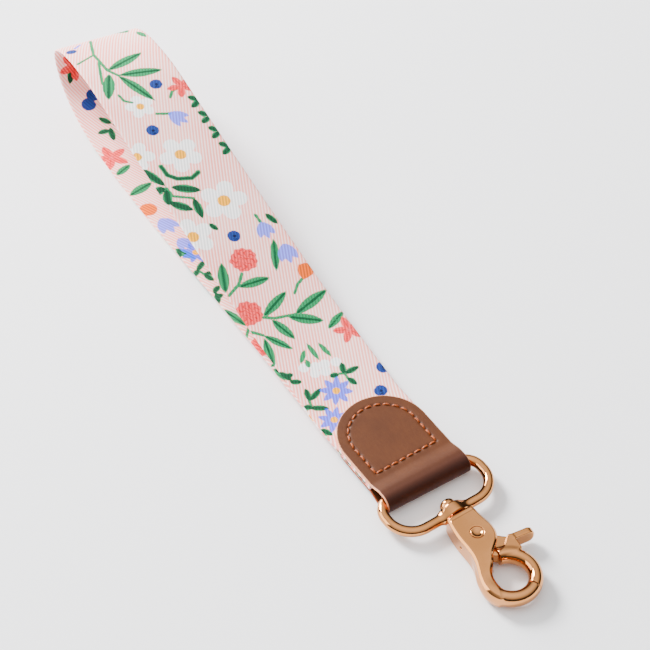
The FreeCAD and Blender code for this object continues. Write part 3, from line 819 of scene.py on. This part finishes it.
def draw_upper_flowers(p):
    """Berries, daisies and the coral flower in the far half."""
    p.berry(4.5, 118.2)
    p.berry(-4.0, 103.4)
    p.daisy(-3.2, 112.4, 3.9, 5, 0.3)
    p.disc("orange", -3.2, 112.4, 0.85)
    p.blossom(10.7, 114.6, 4.4, 0.5, "coral")
    p.stroke("leaf", [(6.0, 112.0), (7.4, 113.9), (9.2, 114.2)], 0.47)
    p.stroke("leaf", [(-0.3, 108.2), (1.6, 107.4), (3.2, 106.8)], 0.47)
    p.bell(3.0, 107.2, (6.3, 101.8), 4.4)
    p.daisy(-1.0, 92.8, 5.6, 5, 0.55)
    for s in (107.6, 101.4, 95.4, 89.2):
        p.dark_leaf((12.8, s + 0.4), (10.4, s + 2.8), 2.1)
        p.dark_leaf((12.8, s), (9.6, s - 1.4), 2.1)
    p.daisy(-12.2, 97.0, 4.6, 5, 0.9)


def draw_middle(p):
    """The dark sprig, the big daisies and the bells in the middle."""
    sprig = [(-7.8, 91.4), (-7.6, 88.0), (-5.6, 85.8), (-2.0, 84.4), (0.6, 85.4)]
    p.stroke("leaf", sprig, 0.75)
    p.stroke("leaf_dark", sprig, 0.4)
    p.dark_leaf((-9.8, 85.0), (-13.4, 93.4), 2.7)
    p.dark_leaf((-10.2, 84.6), (-15.0, 84.4), 2.8)
    p.dark_leaf((-8.8, 84.2), (-1.6, 79.6), 2.9)
    p.dark_leaf((-10.2, 84.0), (-12.2, 79.0), 2.6)
    p.dark_leaf((-11.8, 80.0), (-6.8, 74.8), 2.8)
    p.dark_leaf((-4.9, 78.4), (-5.9, 71.2), 2.5)
    p.stroke("leaf", [(-10.0, 84.4), (-9.6, 81.2), (-4.8, 78.2)], 0.43)
    p.daisy(2.2, 73.9, 6.2, 5, 1.0)
    p.daisy(-11.3, 67.2, 5.6, 5, 0.2)
    p.dark_leaf((-5.3, 69.2), (-4.0, 66.0), 1.7)
    p.berry(-1.2, 62.5)
    p.bell(7.7, 63.2, (7.2, 57.4), 4.6)
    p.stroke("leaf", [(7.7, 63.2), (7.6, 66.0)], 0.45)
    p.dark_leaf((10.2, 65.2), (11.8, 60.4), 2.0)
    p.bell(9.8, 54.2, (8.4, 47.6), 5.0)
    p.leaf((8.2, 57.0), (3.4, 47.2), 2.2)
    p.disc("orange", 10.8, 43.9, 2.3)
    p.bell(8.6, 41.6, (12.4, 45.8), 3.6, "orange")
    p.stroke("leaf", [(8.6, 42.0), (6.4, 41.0), (4.2, 38.9)], 0.45)


def draw_lower(p):
    """Pompoms, leaves and small flowers in the near half."""
    p.pompom(-2.7, 54.6, 3.75)
    p.stroke("leaf", [(-5.4, 51.0), (-8.0, 48.4), (-12.0, 46.6)], 0.49)
    p.leaf((-12.4, 47.6), (-8.7, 56.6), 2.7)
    p.leaf((-8.6, 47.8), (0.9, 46.4), 2.6)
    p.pompom(-10.2, 39.3, 3.8)
    p.leaf((-7.5, 36.4), (2.6, 40.6), 2.7)
    p.leaf((0.6, 33.0), (12.8, 35.8), 3.0)
    p.leaf((-1.5, 33.4), (6.6, 27.4), 2.9)
    p.leaf((-5.8, 34.8), (-3.4, 26.2), 2.5)
    p.stroke("leaf", [(-7.5, 36.4), (-4.6, 34.6), (1.0, 33.0)], 0.47)
    p.stroke("leaf", [(-13.0, 34.4), (-10.4, 31.6)], 0.47)
    p.leaf((-10.4, 31.6), (-5.6, 23.8), 2.0)
    p.leaf((-10.6, 30.8), (-13.0, 21.4), 2.2)
    p.blossom(10.9, 21.6, 4.6, 0.2, "white")
    p.leaf((13.0, 27.6), (6.0, 24.6), 2.1)
    for base, tip in (
        ((-1.5, 23.7), (-1.4, 17.2)), ((1.3, 22.3), (2.1, 16.4)),
        ((-3.0, 22.2), (-6.4, 18.7)), ((-4.4, 19.2), (-5.0, 16.4)),
    ):
        p.leaf(base, tip, 1.3, False)
    for u, s in ((-6.3, 17.2), (-3.4, 16.0), (-0.8, 15.4), (2.2, 14.4), (-4.6, 14.2), (-1.8, 13.2)):
        p.disc("white", u, s, 1.5)


def draw_near_tab(p):
    """Sprigs, blue star flowers and berries beside the leather."""
    for base, tip in (
        ((-12.6, 19.6), (-11.2, 15.4)), ((-12.0, 15.4), (-9.0, 13.6)), ((-12.6, 17.4), (-9.8, 17.0)),
        ((-10.4, 7.4), (-9.4, 11.5)), ((-10.4, 7.4), (-5.6, 9.4)), ((-11.8, 5.8), (-7.0, 2.6)),
        ((-10.8, 5.2), (-12.9, 6.8)), ((2.0, 10.0), (3.4, 13.6)), ((2.0, 10.0), (7.0, 10.0)),
        ((0.8, 10.6), (-1.8, 11.4)), ((2.2, 8.6), (3.2, 5.2)), ((-12.6, -1.6), (-11.2, -5.2)),
    ):
        p.dark_leaf(base, tip, 1.9)
    p.stroke("leaf", [(0.8, 10.8), (2.2, 10.0), (2.2, 7.6)], 0.4)
    p.stroke("leaf", [(-10.4, 8.0), (-11.0, 5.4), (-12.6, 5.6)], 0.4)
    p.star(-2.7, 6.5, 4.7, 0.2)
    p.star(-8.0, -1.1, 4.4, 0.8)
    p.berry(12.2, 6.4)
    p.berry(7.6, 0.2)


def draw_inside(p):
    """What shows on the inner face past the loop's far end."""
    p.blossom(-7.6, 162.5, 4.8, 0.4, "coral")
    p.dark_leaf((-6.6, 160.6), (-10.4, 167.6), 2.6)
    p.disc("blue", -7.4, 175.4, 2.2)
    p.disc("blue", -5.0, 172.8, 2.0)
    for base, tip in (
        ((-4.0, 184.6), (-6.6, 180.8)), ((-4.0, 184.6), (1.0, 188.4)),
        ((-5.4, 186.6), (-9.4, 186.6)), ((-5.0, 185.6), (-6.2, 191.4)),
    ):
        p.dark_leaf(base, tip, 2.1)
    p.blossom(-10.0, 197.6, 5.4, 0.9, "white")
    p.leaf((-12.2, 205.2), (-6.4, 202.6), 2.2)
    p.leaf((-12.8, 214.6), (-4.4, 212.6), 2.8)
    p.disc("orange", -10.8, 222.4, 2.6)
    p.bell(-9.6, 227.4, (-9.0, 234.6), 5.2)
    p.bell(-9.4, 237.4, (-8.4, 243.0), 4.4)
    p.leaf((-12.2, 240.4), (-9.2, 247.4), 2.2)


def draw_inside_right(p):
    """Motifs on the inner face that only show from behind."""
    p.leaf((2.0, 8.0), (10.6, 4.0), 3.0)
    p.leaf((2.0, 8.4), (9.8, 12.4), 2.9)
    p.berry(5.6, -1.0)
    p.daisy(6.6, 20.6, 5.2, 5, 0.5)
    p.berry(10.0, 29.4)
    p.stroke("leaf", [(-1.0, 31.0), (2.4, 33.4), (6.0, 34.0)], 0.42)
    p.leaf((1.8, 33.0), (0.6, 40.4), 2.4)
    p.pompom(8.8, 38.4, 3.6)
    p.star(3.4, 49.6, 4.4, 0.2)
    p.leaf((6.6, 50.2), (12.4, 47.2), 2.4)
    p.bell(9.0, 56.4, (6.2, 62.8), 4.4)


def draw_print(p, face):
    """All motifs on one face; the layout is used again on the stretches that mostly lie hidden."""
    parts = (draw_far_leaves, draw_upper_flowers, draw_middle, draw_lower, draw_near_tab)
    if face == "outer":
        runs = ((0.0, parts), (168.0, parts))
    else:
        runs = ((0.0, (draw_inside,)), (166.0, (draw_inside_right,)), (22.0, parts[1:]), (246.0, parts[2:]))
    for offset, motifs in runs:
        p.shift(offset)
        for draw in motifs:
            draw(p)


def build_webbing():
    """The printed webbing as one closed band with its ribs raised."""
    middle, side, inward, along, length = strap_frames(WEB_STEP_ALONG)
    count = int(round(2 * STRAP_HALF / WEB_STEP_ACROSS))
    across = np.linspace(-STRAP_HALF, STRAP_HALF, count + 1)
    rim = np.array([0.5, 0.0, -0.5]) * RIM_THIN * WEB_HALF
    u = np.concatenate([across[:-1], np.full(3, STRAP_HALF), across[::-1][:-1], np.full(3, -STRAP_HALF)])
    edge = ease(0.0, 0.5, STRAP_HALF - np.abs(across))
    thick = WEB_HALF * (RIM_THIN + (1.0 - RIM_THIN) * edge)

    # One ring of points round the section: outer face, rim, inner face, rim.
    lift = np.concatenate([-thick[:-1], -rim, thick[::-1][:-1], rim])
    bulge = np.zeros_like(u)
    bulge[count:count + 3] = (0.06, 0.12, 0.06)
    bulge[-3:] = (-0.06, -0.12, -0.06)
    bulge[0] = -0.02  # the ring's first point stands out slightly, where the ring closes
    face_u = u + bulge
    grid_u = np.broadcast_to(u, (len(middle), len(u)))
    grid_s = np.broadcast_to(along[:, None], grid_u.shape)
    turn = math.radians(RIB_TURN)
    phase = (grid_u * math.cos(turn) - grid_s * math.sin(turn)) * 2 * math.pi / RIB_PITCH
    hidden = ease(ROUND_END + 1.0, ROUND_END - 3.0, middle[:, 1])[:, None]
    ribs = RIB_HIGH * np.sin(phase) * ease(0.0, 0.6, STRAP_HALF - np.abs(grid_u)) * (1 - hidden)
    outward = np.sign(lift)[None, :]
    height = lift[None, :] + outward * (ribs - 0.03)
    points = middle[:, None] + face_u[None, :, None] * side[:, None] + height[..., None] * inward[:, None]
    rows, columns = height.shape
    index = np.arange(rows * columns).reshape(rows, columns)
    after = np.roll(index, -1, axis=1)
    quads = np.stack([index[:-1], index[1:], after[1:], after[:-1]], axis=-1).reshape(-1, 4)
    thing = finish_webbing(points.reshape(-1, 3), quads, index)
    flat_u = grid_u.ravel()
    flat_s = grid_s.ravel()
    outer = np.broadcast_to(outward <= 0, grid_u.shape).ravel()
    inks = {name: np.full(flat_u.shape, NO_INK) for name in Print.INKS}
    for name, chosen in (("outer", outer), ("inner", ~outer)):
        art = Print(flat_u[chosen], flat_s[chosen])
        draw_print(art, name)
        for ink in Print.INKS:
            inks[ink][chosen] = art.ink[ink]
    for ink, values in inks.items():
        add_attribute(thing, ink, values)
    add_attribute(thing, "across", flat_u)
    add_attribute(thing, "along", flat_s)
    return thing


def finish_webbing(points, quads, index):
    """The webbing's object, with both cut ends closed."""
    faces = quads.tolist()
    faces.append(index[0].tolist())
    faces.append(index[-1][::-1].tolist())
    thing = make_object("printed_webbing_band", points, faces, "strap", ["webbing_strap"])
    return thing


# ---- materials ----

class Graph:
    """Short ways to add nodes to a material."""

    def __init__(self, name):
        self.material = bpy.data.materials.new(name)
        self.material.use_nodes = True
        self.nodes = self.material.node_tree.nodes
        self.links = self.material.node_tree.links
        self.shader = self.nodes["Principled BSDF"]

    def set(self, **values):
        for name, value in values.items():
            self.shader.inputs[name.replace("_", " ")].default_value = value

    def feed(self, node, socket, value):
        target = node.inputs[socket]
        if isinstance(value, bpy.types.NodeSocket):
            self.links.new(value, target)
        else:
            target.default_value = value

    def node(self, kind, **inputs):
        made = self.nodes.new(kind)
        for name, value in inputs.items():
            self.feed(made, name, value)
        return made.outputs[0]

    def attribute(self, name):
        made = self.nodes.new("ShaderNodeAttribute")
        made.attribute_name = name
        return made.outputs["Fac"]

    def math(self, operation, a, b=0.0, c=0.0):
        made = self.nodes.new("ShaderNodeMath")
        made.operation = operation
        for i, value in enumerate((a, b, c)):
            self.feed(made, i, value)
        return made.outputs[0]

    def mix(self, share, a, b):
        made = self.nodes.new("ShaderNodeMix")
        made.data_type = "RGBA"
        self.feed(made, 0, share)
        self.feed(made, 6, a)
        self.feed(made, 7, b)
        return made.outputs[2]

    def spread(self, value, low, high, to_low=0.0, to_high=1.0):
        made = self.nodes.new("ShaderNodeMapRange")
        made.interpolation_type = "SMOOTHSTEP"
        for i, number in enumerate((value, low, high, to_low, to_high)):
            self.feed(made, i, number)
        return made.outputs[0]

    def place(self):
        """The point in the object's own space."""
        return self.nodes.new("ShaderNodeTexCoord").outputs["Object"]

    def noise(self, vector, scale, detail=3.0, roughness=0.55):
        return self.node("ShaderNodeTexNoise", Vector=vector, Scale=scale, Detail=detail, Roughness=roughness)

    def stretch(self, vector, scale):
        made = self.nodes.new("ShaderNodeMapping")
        self.feed(made, "Vector", vector)
        made.inputs["Scale"].default_value = scale
        return made.outputs[0]

    def bump(self, height, distance, strength):
        made = self.nodes.new("ShaderNodeBump")
        made.inputs["Distance"].default_value = distance
        made.inputs["Strength"].default_value = strength
        self.feed(made, "Height", height)
        self.links.new(made.outputs[0], self.shader.inputs["Normal"])

    def colour(self, value):
        self.feed(self.shader, "Base Color", value)


def webbing_material():
    """Pale pink twill with a printed floral pattern; the rib ridges carry painted highlight, near-white, and
    each ink has a painted lit copy on the ridges and a shaded copy between them.
    """
    g = Graph("printed_webbing")
    across = g.attribute("across")
    along = g.attribute("along")
    turn = math.radians(RIB_TURN)
    sideways = g.math("MULTIPLY", across, math.cos(turn))
    wave = g.math("SUBTRACT", sideways, g.math("MULTIPLY", along, math.sin(turn)))
    rib = g.math("SINE", g.math("MULTIPLY", wave, 2 * math.pi / RIB_PITCH))
    wavy = g.math("ADD", along, g.math("MULTIPLY", rib, 0.12))
    threads = g.math("SINE", g.math("MULTIPLY", wavy, 2 * math.pi / THREAD_PITCH))
    blotch = g.noise(g.place(), 900.0, 2.0)
    uneven = g.noise(g.place(), 60.0, 3.0)
    pink = g.mix(g.spread(uneven, 0.35, 0.7), srgb(250, 150, 139), srgb(250, 172, 160))
    # Painted highlight: the rib ridges are painted near-white over the pink.
    base = g.mix(g.spread(rib, -0.2, 0.9, 0.0, 0.75), pink, srgb(252, 244, 242))
    blur = g.math("MULTIPLY", g.math("SUBTRACT", blotch, 0.5), 0.35)
    rough_edge = g.math("ADD", blur, g.math("MULTIPLY", rib, 0.05))

    # Each ink, from the first printed to the last: its name, colour, and how far it covers.
    inks = (
        ("white", srgb(252, 252, 252), 0.95),
        ("leaf", srgb(0, 124, 72), 0.99),
        ("leaf_dark", srgb(3, 46, 30), 0.85),
        ("coral", srgb(220, 46, 50), 0.93),
        ("red", srgb(186, 10, 16), 0.8),
        ("lavender", srgb(86, 110, 246), 0.9),
        ("sky", srgb(44, 84, 240), 0.9),
        ("orange", srgb(214, 88, 0), 0.99),
        ("blue", srgb(0, 46, 118), 0.99),
        ("navy", srgb(2, 14, 48), 0.97),
        ("yellow", srgb(240, 160, 0), 0.99),
    )
    for name, ink, cover in inks:
        depth = g.math("ADD", g.attribute(name), rough_edge)
        # Painted light: each ink gets a shaded copy in the rib valleys and a lit copy on the rib ridges.
        shade = tuple(channel * 0.75 for channel in ink[:3]) + (1.0,)
        light = tuple(min(1.0, channel * 1.25) for channel in ink[:3]) + (1.0,)
        tone = g.mix(g.spread(rib, -0.7, 0.8), shade, light)
        base = g.mix(g.spread(depth, -0.1, 0.14, 0.0, cover), base, tone)
    g.colour(base)
    g.set(Roughness=0.8, Specular_IOR_Level=0.1, Sheen_Weight=0.04, Sheen_Roughness=0.5)
    weave = g.math("ADD", g.math("MULTIPLY", threads, 0.5), g.math("MULTIPLY", blotch, 0.6))
    g.bump(weave, 0.00006, 0.8)
    return g.material


def leather_material():
    """Smooth brown leather: fine grain, painted shade that darkens the fold and the stitch dents, and paler
    cut edges, painted lighter on the upper half and darker on the lower half as lit and shaded copies of one
    edge.
    """
    g = Graph("brown_leather")
    place = g.place()
    cloud = g.noise(place, 110.0, 4.0, 0.6)
    streak = g.noise(g.stretch(place, (1.0, 0.28, 1.0)), 1500.0, 3.0)
    pores = g.node("ShaderNodeTexVoronoi", Vector=place, Scale=2400.0)
    face = g.mix(g.spread(cloud, 0.3, 0.7), srgb(70, 34, 8), srgb(79, 40, 12))
    face = g.mix(g.spread(streak, 0.35, 0.75, 0.0, 0.35), face, srgb(66, 28, 5))
    # Painted shade: the leather darkens toward the fold.
    face = g.mix(g.math("MULTIPLY", g.attribute("fold"), 0.8), face, srgb(50, 14, 5))
    # Painted shade: the stitch dents are darkened.
    face = g.mix(g.spread(g.attribute("stitch_dent"), 0.05, 0.3, 0.0, 0.75), face, srgb(42, 14, 5))
    fibre = g.noise(g.stretch(place, (1.0, 1.0, 3.0)), 2600.0, 2.0)
    # Painted light: the cut edge is a lit pale copy on the upper half and a shaded darker copy on the lower
    # half.
    lit_edge = g.mix(fibre, srgb(222, 140, 98), srgb(246, 172, 128))
    shaded_edge = g.mix(fibre, srgb(118, 48, 8), srgb(158, 70, 14))
    edge = g.mix(g.attribute("underside"), lit_edge, shaded_edge)
    g.colour(g.mix(g.attribute("cut_edge"), face, edge))
    g.set(Roughness=0.52, Specular_IOR_Level=0.22)
    grain = g.math("ADD", g.math("MULTIPLY", streak, 0.6), g.math("MULTIPLY", pores, 0.5))
    g.bump(grain, 0.00005, 0.55)
    return g.material


def thread_material():
    """Bonded orange-brown thread with a sheen along its twist."""
    g = Graph("sewing_thread")
    fibre = g.noise(g.place(), 5200.0, 2.0)
    g.colour(g.mix(g.spread(fibre, 0.3, 0.7), srgb(104, 42, 6), srgb(176, 80, 12)))
    g.set(Roughness=0.42, Specular_IOR_Level=0.35, Sheen_Weight=0.06, Sheen_Roughness=0.3)
    g.bump(fibre, 0.00003, 0.5)
    return g.material


def gold_material():
    """Polished rose gold plate over a die casting, with faint polishing marks."""
    g = Graph("rose_gold")
    place = g.place()
    cloud = g.noise(place, 130.0, 3.0)
    marks = g.noise(g.stretch(place, (1.0, 0.15, 1.0)), 3500.0, 3.0)
    g.colour(g.mix(g.spread(cloud, 0.3, 0.7), srgb(196, 132, 76), srgb(206, 141, 86)))
    g.set(Metallic=1.0)
    rough = g.spread(marks, 0.3, 0.8, 0.05, 0.13)
    g.links.new(rough, g.shader.inputs["Roughness"])
    g.bump(g.math("ADD", g.math("MULTIPLY", cloud, 0.8), g.math("MULTIPLY", marks, 0.06)), 0.00008, 0.35)
    return g.material


def steel_material():
    """Plain drawn spring wire."""
    g = Graph("spring_steel")
    drawn = g.noise(g.place(), 3000.0, 2.0)
    g.colour(g.mix(drawn, srgb(150, 148, 144), srgb(190, 188, 184)))
    g.set(Metallic=1.0, Roughness=0.3)
    return g.material


def floor_material():
    """A plain pale table top."""
    g = Graph("pale_floor")
    g.colour(srgb(246, 246, 248))
    g.set(Roughness=0.9, Specular_IOR_Level=0.1)
    return g.material


def dress(thing, material):
    """Gives a piece its one material."""
    thing.data.materials.clear()
    thing.data.materials.append(material)


def dress_node(name, material):
    """Gives a CAD node its material through its object's slots."""
    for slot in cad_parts[name].material_slots:
        slot.link = "OBJECT"
        slot.material = material


# ---- camera, light and floor ----

LENS = 99.7
CAMERA_PLACE = (-0.17382, -0.28336, 0.36924)
LOOKS_DOWN = 48.4
LOOKS_ASIDE = -33.8
FLOOR_HALF = 15.0
FLOOR_DROP = 0.0001
GLOW = ((0.06, 0.02), (0.36, 0.06), (0.56, 0.42), (1.0, 1.0))
GLOW_STRENGTH = 2.05


def add_camera():
    """A long lens over the hook's left, as in a product photograph."""
    data = bpy.data.cameras.new("camera")
    data.lens = LENS
    data.sensor_width = 36.0
    data.clip_start = 0.01
    data.clip_end = 20.0
    camera = bpy.data.objects.new("camera", data)
    camera.location = CAMERA_PLACE
    camera.rotation_euler = (math.radians(90.0 - LOOKS_DOWN), 0.0, math.radians(LOOKS_ASIDE))
    bpy.context.scene.collection.objects.link(camera)
    bpy.context.scene.camera = camera


def add_area(name, location, target, size, power):
    """A square soft light that faces a point."""
    data = bpy.data.lights.new(name, "AREA")
    data.energy = power
    data.size = size
    light = bpy.data.objects.new(name, data)
    light.location = location
    way = np.array(target) - np.array(location)
    flat = math.hypot(way[0], way[1])
    pitch = math.pi / 2 + math.atan2(way[2], flat)
    light.rotation_euler = (pitch, 0.0, math.atan2(way[1], way[0]) - math.pi / 2)
    bpy.context.scene.collection.objects.link(light)


def add_floor():
    """The pale table top, just under the lowest point."""
    corners = [(-1, -1), (1, -1), (1, 1), (-1, 1)]
    mesh = bpy.data.meshes.new("floor")
    mesh.from_pydata([(x * FLOOR_HALF, y * FLOOR_HALF, 0) for x, y in corners], [], [(0, 1, 2, 3)])
    floor = bpy.data.objects.new("floor", mesh)
    floor.location = (0.0, 0.0, -FLOOR_DROP)
    mesh.materials.append(floor_material())
    bpy.context.scene.collection.objects.link(floor)


def add_glow():
    """An even surrounding glow, dark below and bright above."""
    world = bpy.data.worlds.new("studio")
    bpy.context.scene.world = world
    world.use_nodes = True
    nodes, links = world.node_tree.nodes, world.node_tree.links
    back = nodes["Background"]
    ramp = nodes.new("ShaderNodeValToRGB")
    split = nodes.new("ShaderNodeSeparateXYZ")
    where = nodes.new("ShaderNodeTexCoord")
    links.new(where.outputs["Generated"], split.inputs[0])
    links.new(split.outputs[2], ramp.inputs[0])
    while len(ramp.color_ramp.elements) < len(GLOW):
        ramp.color_ramp.elements.new(0.5)
    for stop, (place, level) in zip(ramp.color_ramp.elements, GLOW):
        stop.position = place
        stop.color = (level, level, level, 1.0)
    links.new(ramp.outputs[0], back.inputs[0])
    back.inputs[1].default_value = GLOW_STRENGTH


def add_surroundings():
    """The floor, the soft lights and the glow."""
    add_floor()
    add_area("key_light", (-0.25, 1.0, 0.75), (0.0, 0.0, 0.0), 0.38, 52.0)
    add_area("left_light", (-0.95, 0.62, 0.46), (0.0, -0.05, 0.0), 0.85, 13.0)
    add_area("rim_light", (-0.2, 1.6, 0.42), (0.0, 0.0, 0.0), 0.7, 32.0)
    add_glow()


def main():
    """Builds every piece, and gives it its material."""
    add_camera()
    add_surroundings()
    gold = gold_material()
    for piece in build_hardware():
        dress(piece, gold)
    dress(build_leather(), leather_material())
    thread = thread_material()
    dress(build_thread("needle_thread_stitches", "needle_thread", 1), thread)
    dress(build_thread("bobbin_thread_stitches", "bobbin_thread", -1), thread)
    dress(build_webbing(), webbing_material())
    dress_node("gate_spring", steel_material())


main()
